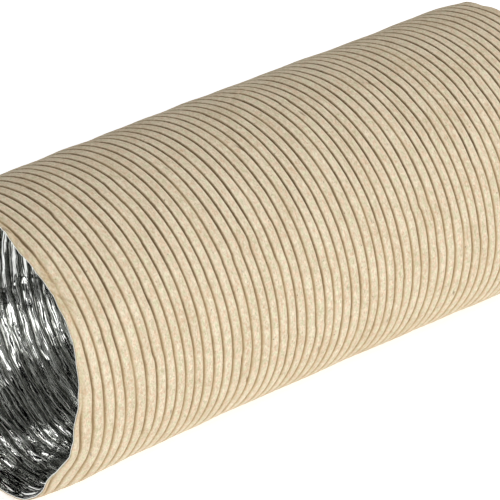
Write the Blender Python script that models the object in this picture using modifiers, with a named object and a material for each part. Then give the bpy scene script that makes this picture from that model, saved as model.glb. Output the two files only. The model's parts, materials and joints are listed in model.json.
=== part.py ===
"""Flexible air duct: a cut length of corrugated kraft paper tube lined with aluminium foil.

The duct lies along X on the plane z = 0 and is made of twelve plain stretches. Between two
stretches, a few ribs of the same wall bend or slide, so that the whole duct bends and stretches.
"""

import math

import bpy

# Driving dimensions, in metres.
OUTER_RADIUS = 0.0318
RIB_PITCH = 0.00235
RIB_DEPTH = 0.0009
BORE_RADIUS = 0.0300
KRAFT_INNER_RADIUS = 0.0306
LINER_GAP = 0.0001
PIECE_GAP = 0.0003

# How the ribs are shared out along the duct.
RIBS = 60
END_RIBS = 3.5
FLEX_RIBS = 3
STRETCH_RIBS = 2
CREST_SHARE = 0.6

FACETS = 20
SHARP_ANGLE = math.radians(25)
WELD_DISTANCE = 0.00001

# One letter for each joint from the near end to the far end:
# A and B are hinges on crossed axes, S is a slide along the duct.
JOINT_ORDER = "ABSABSBASBA"
ROOT_STRETCH = 6

LENGTH = RIBS * RIB_PITCH
NEAR_END = -LENGTH / 2
FOIL_OUTER_RADIUS = KRAFT_INNER_RADIUS - LINER_GAP
JOINTS = len(JOINT_ORDER)
JOINT_NAMES = {"A": "bend_a", "B": "bend_b", "S": "stretch"}


def clear_scene():
    for item in list(bpy.data.objects):
        bpy.data.objects.remove(item, do_unlink=True)


def make_collection(name):
    collection = bpy.data.collections.new(name)
    bpy.context.scene.collection.children.link(collection)
    return collection


def make_material(name, colour, roughness, metallic):
    material = bpy.data.materials.new(name)
    material.use_nodes = True
    shader = material.node_tree.nodes["Principled BSDF"]
    shader.inputs["Base Color"].default_value = (*colour, 1.0)
    shader.inputs["Roughness"].default_value = roughness
    shader.inputs["Metallic"].default_value = metallic
    return material


def kraft_paper():
    return make_material("kraft_paper", (0.66, 0.54, 0.38), 0.85, 0.0)


def aluminium_foil():
    return make_material("aluminium_foil", (0.80, 0.81, 0.82), 0.28, 1.0)


def crest_corners():
    """Every corner (x, radius) of the rib outline along the whole duct."""
    half_crest = CREST_SHARE * RIB_PITCH / 2
    groove_radius = OUTER_RADIUS - RIB_DEPTH
    corners = []
    for rib in range(RIBS + 1):
        centre = NEAR_END + rib * RIB_PITCH
        corners.append((centre - half_crest, OUTER_RADIUS))
        corners.append((centre + half_crest, OUTER_RADIUS))
        corners.append((centre + RIB_PITCH / 2, groove_radius))
    return corners


def radius_at(x, corners):
    """The rib outline's radius at x, on the straight line between its neighbouring corners."""
    for (x_before, r_before), (x_after, r_after) in zip(corners, corners[1:]):
        if x_before <= x <= x_after:
            share = (x - x_before) / (x_after - x_before)
            return r_before + share * (r_after - r_before)
    return OUTER_RADIUS


def kraft_profile(start, end):
    """The cross-section of one stretch of kraft wall: ribs outside, plain inside."""
    corners = crest_corners()
    outside = [(start, radius_at(start, corners))]
    for x, radius in corners:
        if start < x < end:
            outside.append((x, radius))
    outside.append((end, radius_at(end, corners)))
    return [(start, KRAFT_INNER_RADIUS), (end, KRAFT_INNER_RADIUS)] + outside[::-1]


def foil_profile(start, end):
    """The cross-section of one stretch of the foil lining."""
    return [
        (start, BORE_RADIUS),
        (end, BORE_RADIUS),
        (end, FOIL_OUTER_RADIUS),
        (start, FOIL_OUTER_RADIUS),
    ]


def profile_mesh(name, profile, origin_x):
    """A closed outline in the XZ plane, with flat-to-flat radii turned into corner radii."""
    corner_scale = 1 / math.cos(math.pi / FACETS)
    points = [(x - origin_x, 0.0, radius * corner_scale) for x, radius in profile]
    edges = [(i, (i + 1) % len(points)) for i in range(len(points))]
    mesh = bpy.data.meshes.new(name)
    mesh.from_pydata(points, edges, [])
    return mesh


def turn_profile(name, profile, origin_x, collection):
    """Turns a cross-section about the duct's axis and returns the solid's mesh."""
    guide = bpy.data.objects.new(name + "_outline", profile_mesh(name, profile, origin_x))
    collection.objects.link(guide)
    screw = guide.modifiers.new("turn", "SCREW")
    screw.axis = "X"
    screw.angle = math.tau
    screw.steps = FACETS
    screw.render_steps = FACETS
    screw.use_merge_vertices = True
    screw.merge_threshold = WELD_DISTANCE
    graph = bpy.context.evaluated_depsgraph_get()
    mesh = bpy.data.meshes.new_from_object(guide.evaluated_get(graph))
    outline = guide.data
    bpy.data.objects.remove(guide, do_unlink=True)
    bpy.data.meshes.remove(outline)
    mesh.name = name
    return mesh


def make_ring(name, profile, material, frame, collection):
    """One turned piece, parented to the empty that its stretch of the duct moves with."""
    mesh = turn_profile(name, profile, frame.matrix_world.translation.x, collection)
    mesh.materials.append(material)
    mesh.shade_smooth()
    mesh.set_sharp_from_angle(angle=SHARP_ANGLE)
    ring = bpy.data.objects.new(name, mesh)
    collection.objects.link(ring)
    ring.parent = frame
    # Half a facet's turn puts one flat of the polygon on the floor.
    ring.rotation_euler.x = math.pi / FACETS
    return ring


def joint_position(joint):
    """Where joint number 1, 2, 3 and so on lies along the duct: the middle of its flex ribs."""
    first = NEAR_END + (END_RIBS + FLEX_RIBS / 2) * RIB_PITCH
    return first + (joint - 1) * (FLEX_RIBS + STRETCH_RIBS) * RIB_PITCH


def joint_of(stretch):
    """The number of the joint that carries a stretch, counted outwards from the root stretch."""
    return stretch if stretch < ROOT_STRETCH else stretch - 1


def joint_name(joint):
    """Such as bend_a_2: the second hinge of its kind from the near end."""
    kind = JOINT_ORDER[joint - 1]
    return f"{JOINT_NAMES[kind]}_{JOINT_ORDER[:joint].count(kind)}"


def make_frame(name, x, parent, collection):
    """An empty on the duct's axis, at x."""
    frame = bpy.data.objects.new(name, None)
    frame.empty_display_type = "ARROWS"
    frame.empty_display_size = BORE_RADIUS / 3
    collection.objects.link(frame)
    if parent is None:
        frame.location = (x, 0.0, OUTER_RADIUS)
    else:
        frame.parent = parent
        frame.location = (x - parent.matrix_world.translation.x, 0.0, 0.0)
    bpy.context.view_layer.update()
    return frame


def make_frames(collection):
    """One empty for each stretch: the root's in the middle of it, the others on their joints."""
    root_x = (joint_position(ROOT_STRETCH - 1) + joint_position(ROOT_STRETCH)) / 2
    frames = {ROOT_STRETCH: make_frame("duct_root", root_x, None, collection)}
    towards_far_end = range(ROOT_STRETCH + 1, JOINTS + 2)
    towards_near_end = range(ROOT_STRETCH - 1, 0, -1)
    for stretch in [*towards_far_end, *towards_near_end]:
        parent = frames[stretch - 1 if stretch > ROOT_STRETCH else stretch + 1]
        joint = joint_of(stretch)
        frames[stretch] = make_frame(
            "joint_" + joint_name(joint), joint_position(joint), parent, collection
        )
    return frames


def stretch_limits(stretch):
    """Where a stretch starts and ends, with half a gap left at each neighbour."""
    half_flex = FLEX_RIBS * RIB_PITCH / 2
    start = NEAR_END
    end = -NEAR_END
    if stretch > 1:
        start = joint_position(stretch - 1) + half_flex + PIECE_GAP / 2
    if stretch <= JOINTS:
        end = joint_position(stretch) - half_flex - PIECE_GAP / 2
    return start, end


def flex_limits(joint):
    """Where the flexing ribs of a joint start and end."""
    half_width = FLEX_RIBS * RIB_PITCH / 2 - PIECE_GAP / 2
    middle = joint_position(joint)
    return middle - half_width, middle + half_width


def make_stretches(frames, kraft, foil, collection):
    for stretch in range(1, JOINTS + 2):
        start, end = stretch_limits(stretch)
        frame = frames[stretch]
        make_ring(f"kraft_cover_{stretch:02d}", kraft_profile(start, end), kraft, frame, collection)
        make_ring(f"foil_liner_{stretch:02d}", foil_profile(start, end), foil, frame, collection)


def make_flex_ribs(frames, kraft, foil, collection):
    """The flexing ribs move with the stretch on their near side."""
    for joint in range(1, JOINTS + 1):
        start, end = flex_limits(joint)
        frame = frames[joint]
        make_ring(f"kraft_flex_{joint:02d}", kraft_profile(start, end), kraft, frame, collection)
        make_ring(f"foil_flex_{joint:02d}", foil_profile(start, end), foil, frame, collection)


def main():
    clear_scene()
    duct = make_collection("flexible_air_duct")
    kraft = kraft_paper()
    foil = aluminium_foil()
    frames = make_frames(duct)
    make_stretches(frames, kraft, foil, duct)
    make_flex_ribs(frames, kraft, foil, duct)
    bpy.context.view_layer.update()


main()
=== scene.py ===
"""A length of flexible air duct: ribbed kraft paper outside, creased aluminium foil inside."""

import json
import math

import bpy
import numpy as np
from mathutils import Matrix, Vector

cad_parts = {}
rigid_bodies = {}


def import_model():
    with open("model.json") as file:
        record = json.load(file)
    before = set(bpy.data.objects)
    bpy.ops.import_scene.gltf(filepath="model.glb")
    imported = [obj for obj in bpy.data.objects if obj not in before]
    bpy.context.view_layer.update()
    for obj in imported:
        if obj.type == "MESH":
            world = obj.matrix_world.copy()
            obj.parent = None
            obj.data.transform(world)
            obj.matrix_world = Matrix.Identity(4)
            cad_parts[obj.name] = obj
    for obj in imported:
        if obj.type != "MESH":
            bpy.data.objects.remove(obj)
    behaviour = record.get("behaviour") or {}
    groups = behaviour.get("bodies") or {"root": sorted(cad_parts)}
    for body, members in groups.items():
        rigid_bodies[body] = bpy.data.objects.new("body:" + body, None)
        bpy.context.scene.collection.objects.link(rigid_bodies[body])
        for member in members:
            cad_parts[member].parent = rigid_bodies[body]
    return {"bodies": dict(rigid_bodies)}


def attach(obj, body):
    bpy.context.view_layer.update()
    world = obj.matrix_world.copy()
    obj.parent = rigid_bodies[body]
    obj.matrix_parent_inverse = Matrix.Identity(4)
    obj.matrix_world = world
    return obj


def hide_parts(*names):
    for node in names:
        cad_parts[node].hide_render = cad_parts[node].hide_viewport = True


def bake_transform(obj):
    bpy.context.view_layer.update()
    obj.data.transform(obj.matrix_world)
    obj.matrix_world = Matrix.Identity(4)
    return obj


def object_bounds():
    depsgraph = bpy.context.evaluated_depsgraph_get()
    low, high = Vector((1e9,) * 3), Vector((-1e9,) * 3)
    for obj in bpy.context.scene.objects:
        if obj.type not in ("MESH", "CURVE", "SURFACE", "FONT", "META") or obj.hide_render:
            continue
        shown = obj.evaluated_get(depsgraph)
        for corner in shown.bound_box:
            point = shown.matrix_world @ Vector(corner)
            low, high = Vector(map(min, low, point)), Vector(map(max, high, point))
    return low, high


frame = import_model()
CAD_LOW, CAD_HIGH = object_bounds()

bl_info = {
    "name": "Flexible Air Duct",
    "version": (1, 0, 0),
    "blender": (4, 5, 0),
    "location": "3D View > Sidebar > Air Duct",
    "description": "Builds a length of paper and foil air duct with its stage",
    "category": "Add Mesh",
}

TAU = 2 * math.pi
BODIES = sorted(frame["bodies"])
HINGES = len(BODIES) - 1
NEAR_END = CAD_LOW[0]
FAR_END = CAD_HIGH[0]
OUTER_RADIUS = (CAD_HIGH[1] - CAD_LOW[1]) / 2
AXIS_HEIGHT = (CAD_LOW[2] + CAD_HIGH[2]) / 2

COLUMNS = 320
STRETCH_ROWS = 84
BACK_STEP = 14
HALF_ROWS = STRETCH_ROWS // 2
ROWS = STRETCH_ROWS * len(BODIES)
FRILL_SHIFT = 40
LEAST_AREA = 1e-12
FACING = math.radians(144)

# Irregular waves: seed, count, longest and shortest wave, and how many turns they may slant off the ribs.
WAVES = {
    "slow_stray": (21, 26, 0.030, 0.0055, 3),
    "quick_stray": (22, 26, 0.012, 0.0042, 14),
    "groove_depth": (41, 30, 0.020, 0.005, 12),
    "paper_swell": (44, 24, 0.040, 0.010, 6),
    "foil_stray": (51, 30, 0.012, 0.004, 22),
    "foil_flutter": (57, 40, 0.008, 0.003, 60),
    "small_ridge_height": (52, 30, 0.012, 0.004, 12),
    "small_ridge_stray": (53, 20, 0.02, 0.006, 6),
    "tiny_ridge_stray": (54, 20, 0.02, 0.005, 8),
    "foil_depth": (56, 30, 0.02, 0.005, 8),
}

# Places on the near rim: degrees below the line that faces the front, and half width in degrees.
LIP = (82, 53)
UPPER_LIP = (-31, 16)
PINCH = (-12, 16)
CRUSH = (-12, 17)
FRAYED = (62, 26)
# The first and last place of the pinched creases, in degrees below the same line.
PINCH_CREASES = (-34, -2)
# Swellings: height, then their place and half width as above, then their reach along the duct.
NEAR_SWELL = (0.0007, 94, 22, 0.036)
FAR_SWELL = (0.0005, -85, 45, 0.034)
# Dents, the same way, with a share of the full depth in place of the height.
DENTS = ((1.0, 76, 15, 0.0115), (0.7, 42, 9, 0.0075), (0.5, -150, 35, 0.010))
# The three rows of nicks along the lapped edge, from the line that faces the front.
LAP_BEARINGS = (FACING + math.radians(57), FACING - math.radians(38), FACING + math.radians(170))

# Finer lengths of the rims and of the plies, in metres.
CUT_WANDER = 0.00075
LIP_REACH = 0.0155
FRILL = 0.00009
FRILL_REACH = 0.0035
NEAR_TUCK = 0.00015
FAR_TUCK = 0.00004
TUCK_REACH = 0.003
HANDLED_REACH = 0.0012
FIRST_LAP = 0.0043

CREST_BELOW_OUTSIDE = 0.00010
PAPER_SWELL = 0.00006
LAP_NICK_DEPTH = 0.00030
NICK_DEPTH = 0.00012
PINCH_DEPTH = 0.00028
FOIL_BELOW_GROOVE = 0.00060
JOINT_BELOW_GROOVE = 0.00052
SMALL_RIDGE = 0.00013
TINY_RIDGE = 0.00007
CRINKLE = 0.00005
GLUE_GAP = 0.00001
LEAST_PLY = 0.00003

PAPER_ROUGHNESS = (0.72, 0.9)
FLOOR_HALF = 6.0
FLOOR_GLOW = 0.60
WORLD_STRENGTH = 0.33
# Each light's place from the duct's middle, its size, its power, and whether it only makes glints.
LIGHTS = {
    "key_light": ((-0.25, -1.10, 0.80), (0.7, 0.7), 11.0, False),
    "side_light": ((1.05, -0.15, 0.95), (0.8, 0.8), 5.5, False),
    "near_mouth_light": ((-0.80, -0.70, 0.60), (0.7, 0.7), 4.6, True),
    "far_mouth_light": ((0.80, -0.70, 0.60), (0.7, 0.7), 4.6, True),
    "near_back_light": ((-0.75, 0.75, 0.75), (0.06, 1.3), 0.9, True),
    "far_back_light": ((0.75, 0.75, 0.75), (0.06, 1.3), 0.9, True),
}
LENS = 274.3
SENSOR = 36.0
CLIP_START = 0.05
CAMERA_FROM_MIDDLE = (-0.4552, -0.5402, 0.3916)
CAMERA_LOOKS = (0.5615, 0.6688, -0.4873)


# ---------------------------------------------------------------- sizes and colours


class DuctSizes(bpy.types.PropertyGroup):
    """Sizes of the sleeve and its ribs."""

    rib_pitch: bpy.props.FloatProperty(
        name="Rib pitch",
        description="Distance from one groove to the next along the duct",
        default=0.00243,
        unit="LENGTH",
    )
    rib_starts: bpy.props.IntProperty(
        name="Rib starts",
        description="Ribs that run side by side round the duct",
        default=5,
        min=1,
    )
    groove_depth: bpy.props.FloatProperty(
        name="Groove depth",
        description="How far a groove lies below the ribs",
        default=0.00050,
        unit="LENGTH",
    )
    groove_share: bpy.props.FloatProperty(
        name="Groove share",
        description="Share of the rib pitch that the groove's slope takes on each side",
        default=0.092,
        subtype="FACTOR",
    )
    wander: bpy.props.FloatProperty(
        name="Rib wander",
        description="How far the grooves stray, as a share of the rib pitch",
        default=0.038,
        subtype="FACTOR",
    )
    paper: bpy.props.FloatProperty(
        name="Paper thickness",
        description="Thickness of the kraft paper at a cut end",
        default=0.00028,
        unit="LENGTH",
    )
    foil: bpy.props.FloatProperty(
        name="Foil thickness",
        description="Thickness of the foil and its backing at a cut end",
        default=0.00016,
        unit="LENGTH",
    )
    foil_relief: bpy.props.FloatProperty(
        name="Foil relief",
        description="Height of the ridges inside",
        default=0.00095,
        unit="LENGTH",
    )
    lap_lead: bpy.props.FloatProperty(
        name="Lap lead",
        description="How far the strip's lapped edge moves along in one turn",
        default=0.0193,
        unit="LENGTH",
    )
    dent: bpy.props.FloatProperty(
        name="Rim dent",
        description="How far the near rim is pushed in at its dent",
        default=0.0017,
        unit="LENGTH",
    )
    lip: bpy.props.FloatProperty(
        name="Rim lip",
        description="How far the near rim stands out below its dent",
        default=0.0030,
        unit="LENGTH",
    )
    arch: bpy.props.FloatProperty(
        name="Arch",
        description="How far the middle of the duct springs up above its ends",
        default=0.0008,
        unit="LENGTH",
    )


class DuctFinishes(bpy.types.PropertyGroup):
    """Colours of the paper, the foil and the stage."""

    paper_light: bpy.props.FloatVectorProperty(
        name="Paper, light",
        description="Kraft paper on the ribs",
        default=(0.85, 0.77, 0.605),
        size=3,
        subtype="COLOR",
    )
    # Dark kraft paper; also laid as painted shade across the middle of each crest, most on top.
    paper_dark: bpy.props.FloatVectorProperty(
        name="Paper, dark",
        description="Kraft paper where its fibres lie thick",
        default=(0.56, 0.44, 0.29),
        size=3,
        subtype="COLOR",
    )
    # Painted shade: the dark brown laid into the bottom of every groove, where the ribs' shade falls.
    groove_shade_brown: bpy.props.FloatVectorProperty(
        name="Groove",
        description="Kraft paper in the bottom of a groove",
        default=(0.125, 0.073, 0.027),
        size=3,
        subtype="COLOR",
    )
    # Painted shade on the slopes beside a groove; the same brown also browns the paper near the cut rims
    # and paints shade into the pinched rim creases.
    shade_brown: bpy.props.FloatVectorProperty(
        name="Groove sides",
        description="Kraft paper on the slopes beside a groove",
        default=(0.52, 0.38, 0.21),
        size=3,
        subtype="COLOR",
    )
    # Painted highlight: a pale cream line along the shoulders of each rib, where light catches the lip of
    # a groove.
    highlight_cream: bpy.props.FloatVectorProperty(
        name="Worn edges",
        description="Kraft paper rubbed pale along the shoulders of a rib",
        default=(0.95, 0.87, 0.71),
        size=3,
        subtype="COLOR",
    )
    rosy: bpy.props.FloatVectorProperty(
        name="Rosy tint",
        description="Tint of the redder fibres",
        default=(1.0, 0.87, 0.82),
        size=3,
        subtype="COLOR",
    )
    leafy: bpy.props.FloatVectorProperty(
        name="Leafy tint",
        description="Tint of the greener fibres",
        default=(0.88, 0.97, 0.86),
        size=3,
        subtype="COLOR",
    )
    fleck: bpy.props.FloatVectorProperty(
        name="Flecks",
        description="Dark flecks in the paper",
        default=(0.13, 0.08, 0.045),
        size=3,
        subtype="COLOR",
    )
    foil_bright: bpy.props.FloatVectorProperty(
        name="Foil",
        description="Bare aluminium foil",
        default=(0.80, 0.81, 0.785),
        size=3,
        subtype="COLOR",
    )
    # Painted shade: dark foil laid into the folds between the inner ridges.
    foil_fold_shade: bpy.props.FloatVectorProperty(
        name="Foil, dull",
        description="Aluminium foil in its folds",
        default=(0.17, 0.175, 0.150),
        size=3,
        subtype="COLOR",
    )
    # Painted highlight: pale matt foil along the sharp fold edges, standing in for their glints.
    foil_glint: bpy.props.FloatVectorProperty(
        name="Foil, fold edges",
        description="Aluminium foil worn matt and pale along a sharp fold",
        default=(0.92, 0.92, 0.88),
        size=3,
        subtype="COLOR",
    )
    floor: bpy.props.FloatVectorProperty(
        name="Floor",
        description="The studio floor",
        default=(0.72, 0.72, 0.72),
        size=3,
        subtype="COLOR",
    )


# ---------------------------------------------------------------- the duct's surfaces


def rib_lead():
    """How far a rib moves along the duct in one turn."""
    sizes = bpy.context.scene.duct_sizes
    return sizes.rib_pitch * sizes.rib_starts


def waves(name, x, angle):
    """An irregular smooth field of unit strength that closes on itself round the duct."""
    seed, count, longest, shortest, spread = WAVES[name]
    rng = np.random.default_rng(seed)
    lead = rib_lead()
    total = np.zeros(np.broadcast(x, angle).shape)
    for _ in range(count):
        along = rng.choice((-1, 1)) * TAU / (longest * (shortest / longest) ** rng.random())
        around = round(-along * lead / TAU) + int(rng.integers(-spread, spread + 1))
        total += np.cos(along * x + around * angle + TAU * rng.random())
    return total / math.sqrt(count / 2)


def turned(angle, middle):
    """Angle from middle, between minus half a turn and half a turn."""
    return (angle - middle + math.pi) % TAU - math.pi


def rows_near(rows, middle, reach):
    """The grid's rows within reach of a place along the duct."""
    low, high = np.searchsorted(rows, (middle - reach, middle + reach))
    return slice(max(low - 1, 0), high + 1)


def lay_spots(x, angle, seed, count, along, across, both_ways=True):
    """Small soft spots scattered over the sleeve, each drawn out along the ribs."""
    rng = np.random.default_rng(seed)
    lead = rib_lead()
    total = np.zeros(x.shape)
    rows = x.mean(axis=1)
    for _ in range(count):
        middle = rng.uniform(NEAR_END, FAR_END)
        bearing = rng.uniform(0, TAU)
        length = along * rng.uniform(0.5, 1.5)
        width = across * rng.uniform(0.6, 1.4)
        strength = rng.uniform(0.4, 1.0) * (rng.choice((-1, 1)) if both_ways else 1)
        part = rows_near(rows, middle, 4 * width + 0.001)
        swing = turned(angle[part], bearing)
        off = x[part] - middle - lead * swing / TAU
        total[part] += strength * np.exp(-((off / width) ** 2) - (swing * OUTER_RADIUS / length) ** 2)
    return total


def lay_steps(x, angle, seed, count):
    """Places where a rib jogs sideways by a small step."""
    rng = np.random.default_rng(seed)
    lead = rib_lead()
    total = np.zeros(x.shape)
    rows = x.mean(axis=1)
    for _ in range(count):
        middle = rng.uniform(NEAR_END, FAR_END)
        bearing = rng.uniform(0, TAU)
        width = rng.uniform(0.0016, 0.004)
        length = rng.uniform(0.004, 0.009)
        sharpness = rng.uniform(0.0003, 0.0008)
        strength = rng.uniform(0.4, 1.0) * rng.choice((-1, 1))
        part = rows_near(rows, middle, 3 * width + 0.002)
        swing = turned(angle[part], bearing)
        off = x[part] - middle - lead * swing / TAU
        reach = swing * OUTER_RADIUS
        fall = np.exp(-((off / width) ** 2) - (reach / length) ** 2)
        total[part] += strength * np.tanh(reach / sharpness) * fall
    return total


def cut_line(angle, seed):
    """How far in from the CAD's end the hand-cut edge lies, round the duct."""
    rng = np.random.default_rng(seed)
    line = np.zeros(angle.shape)
    for turns in (1, 2, 3, 4, 6, 9, 13, 17, 23, 31, 44, 60):
        line += rng.uniform(0.5, 1.0) / turns**0.6 * np.cos(turns * angle + TAU * rng.random())
    line = line - line.min()
    return CUT_WANDER * line / line.max()


def below_face(angle):
    """Degrees round the duct from the line that faces the front."""
    return np.degrees(turned(angle, FACING))


def hump(value, middle, width):
    """A smooth hump of unit height."""
    return np.exp(-(((value - middle) / width) ** 2))


def lay_grid():
    """Places along and angles round the duct, row by row, up to the two cut edges."""
    sizes = bpy.context.scene.duct_sizes
    angle = np.arange(COLUMNS) * TAU / COLUMNS
    below = below_face(angle)
    near = NEAR_END + cut_line(angle, seed=11)
    near = near - 0.5 * sizes.lip * hump(below, *LIP) - 0.4 * sizes.lip * hump(below, *UPPER_LIP)
    far = FAR_END - cut_line(angle, seed=12)
    rows = np.linspace(NEAR_END, FAR_END, ROWS + 1)
    x = np.repeat(rows[:, None], COLUMNS, axis=1)
    part = np.arange(HALF_ROWS + 1)[:, None] / HALF_ROWS
    x[: HALF_ROWS + 1] = near + (rows[HALF_ROWS] - near) * part
    x[-HALF_ROWS - 1 :] = rows[-HALF_ROWS - 1] + (far - rows[-HALF_ROWS - 1]) * part
    return x, np.repeat(angle[None, :], ROWS + 1, axis=0), near, far


def rib_turns(x, angle):
    """Which rib each place is on: whole numbers are the bottoms of grooves."""
    sizes = bpy.context.scene.duct_sizes
    stray = sizes.wander * (0.85 * waves("slow_stray", x, angle) + 0.25 * waves("quick_stray", x, angle))
    stray += 0.06 * lay_spots(x, angle, seed=23, count=260, along=0.0022, across=0.0011)
    stray += 0.08 * lay_steps(x, angle, seed=24, count=110)
    stray += 0.25 - 0.5 * np.sin(math.pi * (x - NEAR_END) / (FAR_END - NEAR_END))
    return (x - NEAR_END) / sizes.rib_pitch - sizes.rib_starts * angle / TAU + stray


def fade(distance, reach):
    """1 at the rim, easing to 0 at reach."""
    part = np.clip(1 - distance / reach, 0, 1)
    return part * part * (3 - 2 * part)


def creases(x, angle, seed, count, longest, shortest):
    """Straight sharp creases that cross each other, as in crushed paper."""
    rng = np.random.default_rng(seed)
    total = np.zeros(x.shape)
    for _ in range(count):
        around = int(rng.integers(-50, 51))
        along = rng.choice((-1, 1)) * TAU / (longest * (shortest / longest) ** rng.random())
        turn = (along * x + around * angle) / TAU + rng.random()
        total += 1 - np.abs(2 * (turn % 1) - 1) * 2
    return total / count


def raised(below, from_rim, height, middle, width, reach):
    """A swelling at a rim, highest at one place round it and gone at its reach."""
    return height * hump(below, middle, width) * fade(from_rim, reach)


def rim_shape(x, angle, near, far):
    """How the rims are bent: the move along the duct and the move outwards."""
    sizes = bpy.context.scene.duct_sizes
    below = below_face(angle)
    outward = np.zeros(x.shape)
    for share, *where in DENTS:
        outward -= raised(below, x - near, share * sizes.dent, *where)
    outward += raised(below, x - near, *NEAR_SWELL)
    outward += raised(below, far - x, *FAR_SWELL)
    frill = np.cos(9 * angle + 1.2) + np.cos(14 * angle + 0.3) + 0.8 * np.cos(23 * angle + 2.0)
    outward += FRILL * frill * fade(x - near, FRILL_REACH) - NEAR_TUCK * fade(x - near, TUCK_REACH)
    frill = np.roll(frill, FRILL_SHIFT, axis=1)
    outward += FRILL * frill * fade(far - x, FRILL_REACH) - FAR_TUCK * fade(far - x, TUCK_REACH)
    along = -0.5 * sizes.lip * hump(below, *LIP) * fade(x - near, LIP_REACH)
    return along, outward


def rim_crush(x, angle, near, far):
    """1 where the ribs are whole, towards 0 where a rim has flattened them."""
    reach_near = 0.0007 + 0.0022 * hump(below_face(angle), *CRUSH)
    reach_near += 0.0004 * np.cos(7 * angle + 1.0) * np.cos(3 * angle)
    reach_far = 0.0008 + 0.0005 * np.cos(4 * angle + 2.0)
    kept = 1 - 0.9 * np.exp(-(((x - near) / np.maximum(reach_near, 0.0003)) ** 2))
    return kept * (1 - 0.85 * np.exp(-(((far - x) / reach_far) ** 2)))


def lap_marks(x, angle):
    """Short slanting nicks where the strip's lapped edge crosses a groove."""
    sizes = bpy.context.scene.duct_sizes
    rng = np.random.default_rng(31)
    total = np.zeros(x.shape)
    rows = x.mean(axis=1)
    first = NEAR_END + FIRST_LAP
    for bearing in LAP_BEARINGS:
        start = first + sizes.lap_lead * (bearing - LAP_BEARINGS[0]) / TAU
        for lap in range(-2, 10):
            middle = start + lap * sizes.lap_lead + rng.uniform(-0.0006, 0.0006)
            angle_of = bearing + rng.uniform(-0.06, 0.06)
            slant = rng.uniform(0.15, 0.45)
            length = rng.uniform(0.0007, 0.0013)
            strength = rng.uniform(0.6, 1.0)
            part = rows_near(rows, middle, 0.003)
            reach = turned(angle[part], angle_of) * OUTER_RADIUS
            off = x[part] - middle - slant * reach
            total[part] += strength * np.exp(-((off / 0.00022) ** 2) - (reach / length) ** 2)
    return total


def rim_creases(x, angle, near):
    """Sharp slanting creases where the near rim has been pinched flat."""
    rng = np.random.default_rng(61)
    total = np.zeros(x.shape)
    below = below_face(angle)
    for _ in range(14):
        middle = rng.uniform(*PINCH_CREASES)
        depth = rng.uniform(0.0001, 0.0021)
        slant = rng.choice((-1, 1)) * rng.uniform(0.25, 0.8)
        length = rng.uniform(0.0014, 0.0030)
        strength = rng.uniform(0.5, 1.0)
        reach = np.radians(below - middle) * OUTER_RADIUS
        off = x - near - depth - slant * reach
        total += strength * np.exp(-((off / 0.00034) ** 2) - (reach / length) ** 2)
    return total


def kraft_profile(turns):
    """Height of the paper across a rib, 0 on the crest and -1 in the groove."""
    sizes = bpy.context.scene.duct_sizes
    away = np.abs(2 * (turns % 1) - 1)
    slope = 2 * sizes.groove_share
    return -0.86 * np.exp(-(((1 - away) / slope) ** 1.6)) - 0.14 * away**2.6


def crest(turns):
    """A sharp-edged zigzag from -1 to 1 that repeats every turn."""
    return 1 - 2 * np.abs(2 * (turns % 1) - 1)


def foil_profile(turns):
    """Height of the foil across a rib, 0 outermost and 1 at the ridge that stands inwards."""
    away = np.abs(2 * (turns % 1) - 1)
    return 0.30 * np.exp(-(((1 - away) / 0.30) ** 2)) + 0.70 * away**1.15


def slopes(field, period=0.0):
    """How a field changes from row to row and from column to column."""
    by_row = np.gradient(field, axis=0)
    by_column = np.roll(field, -1, axis=1) - np.roll(field, 1, axis=1)
    if period:
        by_column = (by_column + period / 2) % period - period / 2
    return by_row, by_column / 2


def sheet_normals(x, angle, radius, radius_slopes):
    """Outward normals of a sheet laid over the grid."""
    x_row, x_column = slopes(x)
    r_row, r_column = radius_slopes
    cosine, sine = np.cos(angle), np.sin(angle)
    step = TAU / COLUMNS
    row = np.stack((x_row, r_row * cosine, r_row * sine), axis=-1)
    column = np.stack(
        (x_column, r_column * cosine - radius * sine * step, r_column * sine + radius * cosine * step),
        axis=-1,
    )
    normal = np.cross(column, row)
    return normal / np.linalg.norm(normal, axis=-1, keepdims=True)


def place(x, angle, radius):
    """Points in the frame for places on the grid."""
    from_middle = np.clip(2 * (x - NEAR_END) / (FAR_END - NEAR_END) - 1, -1, 1)
    lift = bpy.context.scene.duct_sizes.arch * (1 - from_middle**2)
    return np.stack((x, radius * np.cos(angle), AXIS_HEIGHT + lift + radius * np.sin(angle)), axis=-1)


def ribbed_radius(turns, depth, profile, rest):
    """Radius of a ribbed sheet, and its exact slopes."""
    sizes = bpy.context.scene.duct_sizes
    small = 0.01
    height = profile(turns)
    by_turn = (profile(turns + small) - profile(turns - small)) / (2 * small)
    turn_row, turn_column = slopes(turns, float(sizes.rib_starts))
    rest_row, rest_column = slopes(rest)
    depth_row, depth_column = slopes(depth)
    row = depth * by_turn * turn_row + height * depth_row + rest_row
    column = depth * by_turn * turn_column + height * depth_column + rest_column
    return rest + depth * height, (row, column)


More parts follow.
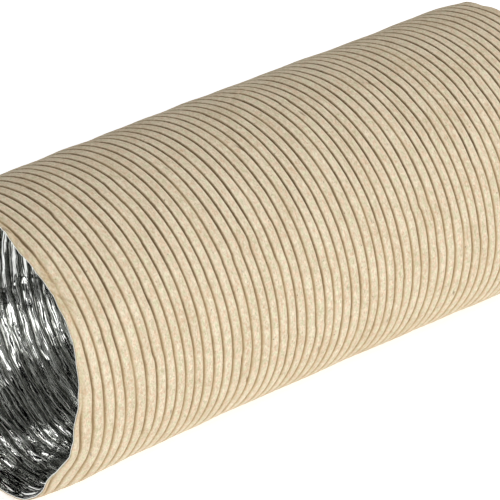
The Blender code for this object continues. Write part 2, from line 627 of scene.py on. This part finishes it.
def shape_kraft():
    """The paper's outer sheet: points, normals and marks for its finish."""
    sizes = bpy.context.scene.duct_sizes
    x, angle, near, far = lay_grid()
    turns = rib_turns(x, angle)
    kept = rim_crush(x, angle, near, far)
    uneven = 1 + 0.16 * waves("groove_depth", x, angle)
    marks = lap_marks(x, angle)
    nicks = lay_spots(x, angle, seed=42, count=120, along=0.0005, across=0.00035, both_ways=False)
    pinched = rim_creases(x, angle, near)
    depth = sizes.groove_depth * np.clip(uneven, 0.55, 1.4) * kept
    along, outward = rim_shape(x, angle, near, far)
    from_rim = np.minimum(x - near, far - x)
    handled = np.exp(-from_rim / HANDLED_REACH)
    crushed = hump(below_face(angle), *PINCH) * np.exp(-(((x - near) / 0.0035) ** 2))
    crushed += 0.35 * hump(below_face(angle), *FRAYED) * np.exp(-(((x - near) / 0.0022) ** 2))
    crumple = 0.00002 + 0.00016 * handled + 0.00060 * crushed
    folds = creases(x, angle, seed=43, count=9, longest=0.008, shortest=0.0022)
    rest = OUTER_RADIUS - CREST_BELOW_OUTSIDE + outward + crumple * (folds - 0.4)
    rest += PAPER_SWELL * waves("paper_swell", x, angle) - PAPER_SWELL
    rest -= LAP_NICK_DEPTH * marks + NICK_DEPTH * nicks + PINCH_DEPTH * pinched
    radius, radius_slopes = ribbed_radius(turns, depth, kraft_profile, rest)
    normals = sheet_normals(x + along, angle, radius, radius_slopes)
    # How strongly the groove shade and shoulder highlights are painted: most on top, where the light
    # grazes the ribs, less where a rim has flattened them, more where a groove runs deep.
    shade_to_top = 0.50 + 0.50 * np.clip((np.sin(angle) + 0.1) / 0.9, 0, 1) ** 1.7
    dark = np.clip(shade_to_top * kept * np.clip(0.5 + 0.5 * uneven, 0.4, 1.15), 0, 1)
    # Painted shade in the dents of the lap nicks, the small nicks and the pinched creases.
    spots = np.clip(marks + 0.6 * nicks + 0.22 * pinched, 0, 1)
    return {
        "x": x + along,
        "angle": angle,
        "turns": turns,
        "radius": radius,
        "outward": outward,
        "points": place(x + along, angle, radius),
        "normals": normals,
        "marks": {
            "rib_cosine": np.cos(TAU * turns),
            "rib_sine": np.sin(TAU * turns),
            "shade_strength": dark,
            "nick_shade": spots,
            # Browner in blotches close to the cut rims, and painted shade in the pinched rim creases.
            "rim": np.clip(handled + 1.1 * pinched, 0, 1.4),
        },
        "from_rim": from_rim,
        "grid": x,
    }


def shape_foil(kraft):
    """The foil's inner sheet: points, normals and marks for its finish."""
    sizes = bpy.context.scene.duct_sizes
    x, angle = kraft["grid"], kraft["angle"]
    turns = kraft["turns"] + 0.035 * waves("foil_stray", x, angle)
    turns += 0.010 * waves("foil_flutter", x, angle)
    close = np.exp(-kraft["from_rim"] / 0.0016)
    wall = sizes.paper + sizes.foil
    middle = OUTER_RADIUS - sizes.groove_depth - FOIL_BELOW_GROOVE
    held = np.clip(close * 1.02, 0, 1)
    rest = middle + (kraft["radius"] - wall - middle) * held
    rest += kraft["outward"] * (1 - held)
    loose = 1 - np.clip(close * 1.2, 0, 1)
    standing = np.clip(0.6 + 0.5 * waves("small_ridge_height", x, angle), 0, 1.5)
    small = crest(2 * turns + 0.16 * waves("small_ridge_stray", x, angle)) * standing
    tiny = crest(3 * turns + 0.20 * waves("tiny_ridge_stray", x, angle))
    crinkle = creases(x, angle, seed=55, count=12, longest=0.006, shortest=0.0018)
    rest -= loose * (SMALL_RIDGE * small + TINY_RIDGE * tiny + CRINKLE * crinkle)
    uneven = 1 + 0.22 * waves("foil_depth", x, angle)
    depth = -sizes.foil_relief * loose * np.clip(uneven, 0.5, 1.4)
    radius, radius_slopes = ribbed_radius(turns, depth, foil_profile, rest)
    radius = np.minimum(radius, kraft["radius"] - wall)
    normals = -sheet_normals(kraft["x"], angle, radius, radius_slopes)
    return {
        "radius": radius,
        "points": place(kraft["x"], angle, radius),
        "normals": normals,
        "marks": {
            "rib_cosine": np.cos(TAU * turns),
            "rib_sine": np.sin(TAU * turns),
            "loose": loose,
        },
    }


def shape_joint(kraft, foil):
    """The hidden face where paper and foil are stuck together, halfway through the wall."""
    sizes = bpy.context.scene.duct_sizes
    smooth = OUTER_RADIUS - sizes.groove_depth - JOINT_BELOW_GROOVE + kraft["outward"]
    close = np.exp(-((kraft["from_rim"] / 0.0011) ** 2))
    radius = smooth + (kraft["radius"] - sizes.paper - smooth) * close
    return np.clip(radius, foil["radius"] + LEAST_PLY, kraft["radius"] - LEAST_PLY)


# ---------------------------------------------------------------- pieces from the sheets


def strip_faces(rows, shift, turned_over):
    """Quads between neighbouring rings of points."""
    ring = np.arange(COLUMNS)
    after = (ring + 1) % COLUMNS
    faces = []
    for low, high in zip(rows[:-1], rows[1:]):
        a, b = shift + low * COLUMNS, shift + high * COLUMNS
        quad = (a + ring, a + after, b + after, b + ring)
        faces.append(np.stack(quad[::-1] if turned_over else quad, axis=-1))
    return np.concatenate(faces)


def build_shell(name, shown, hidden, low, high, shown_inside):
    """A closed shell between a detailed sheet that shows and a hidden one behind it."""
    count = high - low + 1
    step = BACK_STEP if 0 < low and high < ROWS else 1
    back_rows = list(range(low, high + 1, step))
    front = shown["points"][low : high + 1].reshape(-1, 3)
    back = hidden[back_rows].reshape(-1, 3)
    points = np.concatenate((front, back))
    front_faces = strip_faces(list(range(count)), 0, shown_inside)
    back_faces = strip_faces(list(range(len(back_rows))), count * COLUMNS, not shown_inside)
    ring = np.arange(COLUMNS)
    after = (ring + 1) % COLUMNS
    caps = []
    for front_row, back_row, near in ((0, 0, True), (count - 1, len(back_rows) - 1, False)):
        a = front_row * COLUMNS
        b = (count + back_row) * COLUMNS
        quad = (b + ring, b + after, a + after, a + ring)
        caps.append(np.stack(quad if near != shown_inside else quad[::-1], axis=-1))
    faces = np.concatenate([front_faces, back_faces] + caps)
    mesh = bpy.data.meshes.new(name)
    mesh.from_pydata(points.tolist(), [], faces.tolist())
    mesh.polygons.foreach_set("use_smooth", np.ones(len(faces), bool))
    corner = points[faces]
    flat = np.cross(corner[:, 2] - corner[:, 0], corner[:, 3] - corner[:, 1])
    flat /= np.maximum(np.linalg.norm(flat, axis=1, keepdims=True), LEAST_AREA)
    normals = np.repeat(flat[:, None, :], 4, axis=1)
    front_normals = shown["normals"][low : high + 1].reshape(-1, 3)
    normals[: len(front_faces)] = front_normals[front_faces]
    mesh.normals_split_custom_set(normals.reshape(-1, 3).tolist())
    for mark, field in shown["marks"].items():
        values = np.concatenate((field[low : high + 1].ravel(), field[back_rows].ravel()))
        mesh.attributes.new(mark, "FLOAT", "POINT").data.foreach_set("value", values.astype(np.float32))
    rest = mesh.attributes.new("rest", "FLOAT_VECTOR", "POINT")
    rest.data.foreach_set("vector", points.astype(np.float32).ravel())
    piece = bpy.data.objects.new(name, mesh)
    bpy.context.scene.collection.objects.link(piece)
    return piece


def body_name(number):
    """The frame's name for one stretch of the duct, counted from the near end."""
    return f"duct_stretch_{number:02d}"


def lay_pieces(shown, hidden, material, kind, slot, cover, flex, shown_inside):
    """Cuts a ply at the middles of the bodies, so that each piece between two middles spans one joint."""
    cuts = [0] + [HALF_ROWS + STRETCH_ROWS * k for k in range(len(BODIES))] + [ROWS]
    for number, (low, high) in enumerate(zip(cuts[:-1], cuts[1:])):
        piece = build_shell(f"{kind}_{number + 1:02d}", shown, hidden, low, high, shown_inside)
        piece.data.materials.append(material)
        if number == 0:
            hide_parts(f"{cover}_01")
            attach(piece, body_name(1))
        elif number == len(cuts) - 2:
            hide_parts(f"{cover}_{len(BODIES):02d}")
            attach(piece, body_name(len(BODIES)))
        else:
            nodes = [f"{flex}_{number:02d}"]
            if number < HINGES:
                nodes.append(f"{cover}_{number + 1:02d}")
            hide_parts(*nodes)
            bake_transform(piece)


# ---------------------------------------------------------------- finishes


class Nodes:
    """A short way to lay and join a material's nodes."""

    def __init__(self, name):
        self.material = bpy.data.materials.new(name)
        self.material.use_nodes = True
        self.tree = self.material.node_tree
        self.tree.nodes.clear()

    def add(self, kind, inputs=None, **settings):
        node = self.tree.nodes.new(kind)
        for key, value in settings.items():
            setattr(node, key, value)
        for key, value in (inputs or {}).items():
            if isinstance(value, bpy.types.NodeSocket):
                self.tree.links.new(value, node.inputs[key])
            else:
                node.inputs[key].default_value = value
        return node

    def mark(self, name):
        return self.add("ShaderNodeAttribute", attribute_name=name).outputs["Fac"]

    def place(self):
        return self.add("ShaderNodeAttribute", attribute_name="rest").outputs["Vector"]

    def scaled(self, vector, scale):
        inputs = {"Vector": vector, "Scale": scale}
        return self.add("ShaderNodeMapping", inputs).outputs["Vector"]

    def noise(self, vector, scale, detail=4.0, roughness=0.55, distortion=0.0):
        inputs = {
            "Vector": vector,
            "Scale": scale,
            "Detail": detail,
            "Roughness": roughness,
            "Distortion": distortion,
        }
        return self.add("ShaderNodeTexNoise", inputs)

    def ramp(self, value, low, high, start=0.0, end=1.0):
        inputs = {"Value": value, "From Min": low, "From Max": high, "To Min": start, "To Max": end}
        return self.add("ShaderNodeMapRange", inputs).outputs["Result"]

    def maths(self, operation, a, b=0.0):
        node = self.add("ShaderNodeMath", {0: a, 1: b}, operation=operation)
        return node.outputs["Value"]

    def plus(self, a, b):
        return self.maths("ADD", a, b)

    def times(self, a, b):
        return self.maths("MULTIPLY", a, b)

    def mix(self, factor, a, b, blend_type="MIX"):
        inputs = {"Factor": factor, 6: a, 7: b}
        node = self.add("ShaderNodeMix", inputs, data_type="RGBA", blend_type=blend_type)
        return node.outputs[2]

    def bump(self, height, distance, strength, normal=None):
        inputs = {"Height": height, "Distance": distance, "Strength": strength}
        if normal:
            inputs["Normal"] = normal
        return self.add("ShaderNodeBump", inputs).outputs["Normal"]

    def ridged(self, value):
        """Sharp crests where a smooth field crosses its middle."""
        swing = self.times(self.maths("SUBTRACT", value, 0.5), 4.0)
        return self.maths("SUBTRACT", 1.0, self.maths("ABSOLUTE", swing))

    def zigzag(self, rib, count, drift):
        """Count sharp pleats in each rib, which wander with drift."""
        turn = self.plus(self.times(rib, count), drift)
        return self.maths("PINGPONG", turn, 0.5)

    def rib(self):
        """Share of a rib from the nearest groove: negative before it, positive after it."""
        turn = self.maths("ARCTAN2", self.mark("rib_sine"), self.mark("rib_cosine"))
        return self.maths("DIVIDE", turn, TAU)

    def finish(self, shader):
        self.add("ShaderNodeOutputMaterial", {"Surface": shader.outputs["BSDF"]})
        return self.material


def colour(values):
    """An opaque colour for a material's socket."""
    return (*values, 1.0)


def kraft_finish():
    """Brown kraft paper: fibres and flecks, with painted shade in and beside the grooves, on the crests
    and in the nicks, and painted highlights on the rib shoulders.
    """
    looks = bpy.context.scene.duct_finishes
    nodes = Nodes("kraft_paper_ribbed")
    spot = nodes.place()
    drawn = nodes.scaled(spot, (2.4, 1.0, 1.0))
    cloud = nodes.noise(spot, 130, 3).outputs["Fac"]
    fibre = nodes.noise(drawn, 1500, 5, 0.62, 0.6).outputs["Fac"]
    grain = nodes.noise(spot, 2600, 3, 0.6).outputs["Fac"]
    blotch = nodes.noise(nodes.scaled(spot, (1.8, 1.0, 1.0)), 640, 3, 0.6).outputs["Fac"]
    tone = nodes.plus(nodes.ramp(fibre, 0.36, 0.64), nodes.ramp(cloud, 0.3, 0.7, -0.22, 0.22))
    tone = nodes.plus(tone, nodes.ramp(grain, 0.3, 0.7, -0.36, 0.36))
    tone = nodes.plus(tone, nodes.ramp(blotch, 0.35, 0.65, -0.25, 0.25))
    paper = nodes.mix(nodes.ramp(tone, -0.2, 1.2), colour(looks.paper_dark), colour(looks.paper_light))
    hue = nodes.noise(nodes.scaled(spot, (1.5, 1.0, 1.0)), 800, 2, 0.5).outputs["Fac"]
    pink = nodes.mix(nodes.ramp(hue, 0.53, 0.62, 0.0, 0.85), paper, colour(looks.rosy), "MULTIPLY")
    green = nodes.mix(nodes.ramp(hue, 0.47, 0.38, 0.0, 0.85), pink, colour(looks.leafy), "MULTIPLY")
    rib = nodes.rib()
    off = nodes.maths("ABSOLUTE", rib)
    wobble = nodes.plus(off, nodes.ramp(fibre, 0.3, 0.7, -0.020, 0.020))
    wobble = nodes.plus(wobble, nodes.ramp(blotch, 0.3, 0.7, -0.016, 0.016))
    wobble = nodes.plus(wobble, nodes.ramp(nodes.mark("shade_strength"), 0.5, 1.0, 0.010, -0.034))
    # Painted shade: a narrow dark core along the bottom of each groove.
    groove_shade_mask = nodes.ramp(wobble, 0.125, 0.026)
    # Painted shade: a soft brown band on the slopes either side of each groove.
    side_shade = nodes.maths("POWER", nodes.ramp(wobble, 0.36, 0.06), 1.3)
    # Painted highlight: a pale band on each rib's shoulders beside the groove, strongest on top.
    highlit = nodes.times(nodes.ramp(off, 0.09, 0.15), nodes.ramp(off, 0.30, 0.19))
    # Painted shade: the middle of each crest darkened towards the dark paper, most on top.
    crest_shade = nodes.ramp(off, 0.26, 0.40)
    # Strength of the painted shade and highlights, broken up a little by the cloudy tone.
    shade_strength = nodes.times(nodes.mark("shade_strength"), nodes.ramp(cloud, 0.25, 0.75, 0.75, 1.0))
    heavy = nodes.times(shade_strength, shade_strength)
    lit = nodes.mix(nodes.times(highlit, nodes.times(heavy, 0.95)), green, colour(looks.highlight_cream))
    crest_darkened = nodes.mix(nodes.times(crest_shade, nodes.times(heavy, 0.38)), lit, colour(looks.paper_dark))
    # How strongly the slope shade is painted: rising with the shade strength, then easing off where it is
    # strongest.
    side_weight = nodes.times(nodes.ramp(shade_strength, 0.0, 0.42), nodes.ramp(shade_strength, 0.42, 1.0, 0.98, 0.66))
    browned = nodes.mix(nodes.times(side_shade, side_weight), crest_darkened, colour(looks.shade_brown))
    # Browner in blotches close to the cut rims, with painted shade in the pinched creases there.
    handled = nodes.times(nodes.mark("rim"), nodes.ramp(blotch, 0.40, 0.60, 0.10, 0.55))
    browned = nodes.mix(handled, browned, colour(looks.shade_brown))
    groove = colour(looks.groove_shade_brown)
    # Painted shade: the groove's dark brown mixed into each groove's core, more on top.
    shaded = nodes.mix(nodes.times(groove_shade_mask, nodes.times(shade_strength, 0.94)), browned, groove)
    # Painted shade: the groove's dark brown laid into the nicks and creases.
    nicks_darkened = nodes.mix(nodes.ramp(nodes.mark("nick_shade"), 0.1, 0.9, 0.0, 0.8), shaded, groove)
    speck = nodes.noise(nodes.scaled(spot, (1.6, 1.0, 1.0)), 2100, 1, 0.3).outputs["Fac"]
    flecked = nodes.mix(nodes.ramp(speck, 0.74, 0.80, 0.0, 0.7), nicks_darkened, colour(looks.fleck))
    height = nodes.plus(fibre, nodes.times(grain, 0.6))
    relief = nodes.bump(height, 0.00010, 0.9)
    shader = nodes.add(
        "ShaderNodeBsdfPrincipled",
        {
            "Base Color": flecked,
            "Roughness": nodes.ramp(grain, 0.3, 0.7, *PAPER_ROUGHNESS),
            "Normal": relief,
            "Specular IOR Level": 0.3,
        },
    )
    return nodes.finish(shader)


def foil_finish():
    """Creased aluminium foil: sharp pleats with painted highlights along their edges, and painted shade
    in the folds.
    """
    looks = bpy.context.scene.duct_finishes
    nodes = Nodes("aluminium_foil_creased")
    spot = nodes.place()
    lines = nodes.noise(nodes.scaled(spot, (8.0, 1.0, 1.0)), 130, 2, 0.5, 0.1).outputs["Fac"]
    dimples = nodes.noise(spot, 700, 2, 0.5).outputs["Fac"]
    drift = nodes.noise(spot, 70, 2, 0.5).outputs["Fac"]
    rib = nodes.rib()
    fours = nodes.zigzag(rib, 4, nodes.ramp(drift, 0.3, 0.7, -0.7, 0.7))
    sevens = nodes.zigzag(rib, 7, nodes.ramp(lines, 0.3, 0.7, -0.35, 0.35))
    off = nodes.plus(nodes.maths("ABSOLUTE", rib), nodes.ramp(lines, 0.3, 0.7, -0.08, 0.08))
    # Painted shade: the foil darkened in the folds between its ridges, where it hangs loose.
    fold = nodes.ramp(off, 0.26, 0.44)
    furrow_shade = nodes.times(fold, nodes.times(nodes.mark("loose"), 0.85))
    base = nodes.mix(furrow_shade, colour(looks.foil_bright), colour(looks.foil_fold_shade))
    creased = nodes.bump(fours, 0.00022, 0.9)
    creased = nodes.bump(sevens, 0.00009, 0.9, creased)
    creased = nodes.bump(nodes.ridged(lines), 0.00005, 0.7, creased)
    creased = nodes.bump(dimples, 0.00004, 0.6, creased)
    # Painted highlight: pale, less metallic lines along some of the pleats' sharp edges, for the glints
    # they catch.
    edges = nodes.times(nodes.ramp(fours, 0.38, 0.48), nodes.ramp(lines, 0.47, 0.60))
    edges = nodes.times(edges, nodes.mark("loose"))
    edged = nodes.mix(edges, base, colour(looks.foil_glint))
    polish = nodes.ramp(dimples, 0.3, 0.7, 0.05, 0.13)
    shader = nodes.add(
        "ShaderNodeBsdfPrincipled",
        {
            "Base Color": edged,
            "Metallic": nodes.ramp(edges, 0.0, 1.0, 1.0, 0.25),
            "Roughness": nodes.plus(polish, nodes.ramp(edges, 0.0, 1.0, 0.0, 0.25)),
            "Normal": creased,
        },
    )
    return nodes.finish(shader)


def floor_finish():
    """A plain pale floor that glows a little, so that it stays even."""
    looks = bpy.context.scene.duct_finishes
    nodes = Nodes("studio_floor")
    shader = nodes.add(
        "ShaderNodeBsdfPrincipled",
        {
            "Base Color": colour(looks.floor),
            "Roughness": 0.9,
            "Specular IOR Level": 0.1,
            "Emission Color": (1.0, 1.0, 1.0, 1.0),
            "Emission Strength": FLOOR_GLOW,
        },
    )
    return nodes.finish(shader)


# ---------------------------------------------------------------- operators


SHEETS = {}


def sheets():
    """The duct's sheets, worked out once for both plies."""
    if not SHEETS:
        SHEETS["kraft"] = shape_kraft()
        SHEETS["foil"] = shape_foil(SHEETS["kraft"])
        SHEETS["joint"] = shape_joint(SHEETS["kraft"], SHEETS["foil"])
    return SHEETS["kraft"], SHEETS["foil"], SHEETS["joint"]


class AIRDUCT_OT_kraft_sleeve(bpy.types.Operator):
    """Build the ribbed kraft paper sleeve."""

    bl_idname = "airduct.kraft_sleeve"
    bl_label = "Kraft sleeve"

    def execute(self, context):
        kraft, _, joint = sheets()
        hidden = place(kraft["x"], kraft["angle"], joint + GLUE_GAP)
        finish = kraft_finish()
        names = ("kraft_sleeve", "kraft_paper", "kraft_cover", "kraft_flex")
        lay_pieces(kraft, hidden, finish, *names, shown_inside=False)
        return {"FINISHED"}


class AIRDUCT_OT_foil_lining(bpy.types.Operator):
    """Build the creased aluminium foil lining."""

    bl_idname = "airduct.foil_lining"
    bl_label = "Foil lining"

    def execute(self, context):
        kraft, foil, joint = sheets()
        hidden = place(kraft["x"], kraft["angle"], joint - GLUE_GAP)
        finish = foil_finish()
        names = ("foil_lining", "aluminium_foil", "foil_liner", "foil_flex")
        lay_pieces(foil, hidden, finish, *names, shown_inside=True)
        return {"FINISHED"}


def add_light(name, from_middle, size, power, glints_only):
    """A soft rectangular light that points at the duct's middle."""
    lamp = bpy.data.lights.new(name, "AREA")
    lamp.shape = "RECTANGLE"
    lamp.size, lamp.size_y = size
    lamp.energy = power
    light = bpy.data.objects.new(name, lamp)
    bpy.context.scene.collection.objects.link(light)
    middle = Vector((0, 0, AXIS_HEIGHT))
    stand = middle + Vector(from_middle)
    light.location = stand
    light.rotation_euler = (middle - stand).to_track_quat("-Z", "Y").to_euler()
    light.visible_diffuse = not glints_only


def add_floor(scene):
    """A wide square floor under the duct."""
    half = FLOOR_HALF
    corners = [(-half, -half, 0), (half, -half, 0), (half, half, 0), (-half, half, 0)]
    mesh = bpy.data.meshes.new("floor")
    mesh.from_pydata(corners, [], [(0, 1, 2, 3)])
    mesh.materials.append(floor_finish())
    floor = bpy.data.objects.new("floor", mesh)
    scene.collection.objects.link(floor)


def add_world(scene):
    """Even white surroundings, which reflections leave out."""
    world = bpy.data.worlds.new("studio")
    world.use_nodes = True
    background = world.node_tree.nodes["Background"]
    background.inputs["Color"].default_value = (1.0, 1.0, 1.0, 1.0)
    background.inputs["Strength"].default_value = WORLD_STRENGTH
    scene.world = world
    world.cycles_visibility.glossy = False


def add_camera(scene):
    """A long lens that looks down on the near mouth from the front."""
    camera = bpy.data.cameras.new("camera")
    camera.lens = LENS
    camera.sensor_width = SENSOR
    camera.clip_start = CLIP_START
    view = bpy.data.objects.new("camera", camera)
    scene.collection.objects.link(view)
    view.location = Vector((0, 0, AXIS_HEIGHT)) + Vector(CAMERA_FROM_MIDDLE)
    view.rotation_euler = Vector(CAMERA_LOOKS).to_track_quat("-Z", "Y").to_euler()
    scene.camera = view


class AIRDUCT_OT_stage(bpy.types.Operator):
    """Set the floor, the soft lights and the camera."""

    bl_idname = "airduct.stage"
    bl_label = "Stage"

    def execute(self, context):
        scene = context.scene
        add_floor(scene)
        add_world(scene)
        for name, (from_middle, size, power, glints_only) in LIGHTS.items():
            add_light(name, from_middle, size, power, glints_only)
        add_camera(scene)
        scene.view_settings.view_transform = "Standard"
        return {"FINISHED"}


class AIRDUCT_PT_panel(bpy.types.Panel):
    """Lists the duct's sizes, finishes and building steps."""

    bl_idname = "AIRDUCT_PT_panel"
    bl_label = "Air Duct"
    bl_space_type = "VIEW_3D"
    bl_region_type = "UI"
    bl_category = "Air Duct"

    def draw(self, context):
        layout = self.layout
        for group in (context.scene.duct_sizes, context.scene.duct_finishes):
            box = layout.box()
            for name in group.bl_rna.properties.keys():
                if name not in ("rna_type", "name"):
                    box.prop(group, name)
        for operator in OPERATORS:
            layout.operator(operator.bl_idname)


OPERATORS = (AIRDUCT_OT_stage, AIRDUCT_OT_kraft_sleeve, AIRDUCT_OT_foil_lining)
CLASSES = (DuctSizes, DuctFinishes, *OPERATORS, AIRDUCT_PT_panel)


def register():
    for item in CLASSES:
        bpy.utils.register_class(item)
    bpy.types.Scene.duct_sizes = bpy.props.PointerProperty(type=DuctSizes)
    bpy.types.Scene.duct_finishes = bpy.props.PointerProperty(type=DuctFinishes)


def unregister():
    del bpy.types.Scene.duct_finishes
    del bpy.types.Scene.duct_sizes
    for item in reversed(CLASSES):
        bpy.utils.unregister_class(item)


def main():
    register()
    bpy.ops.airduct.stage()
    bpy.ops.airduct.kraft_sleeve()
    bpy.ops.airduct.foil_lining()


if __name__ == "__main__":
    main()
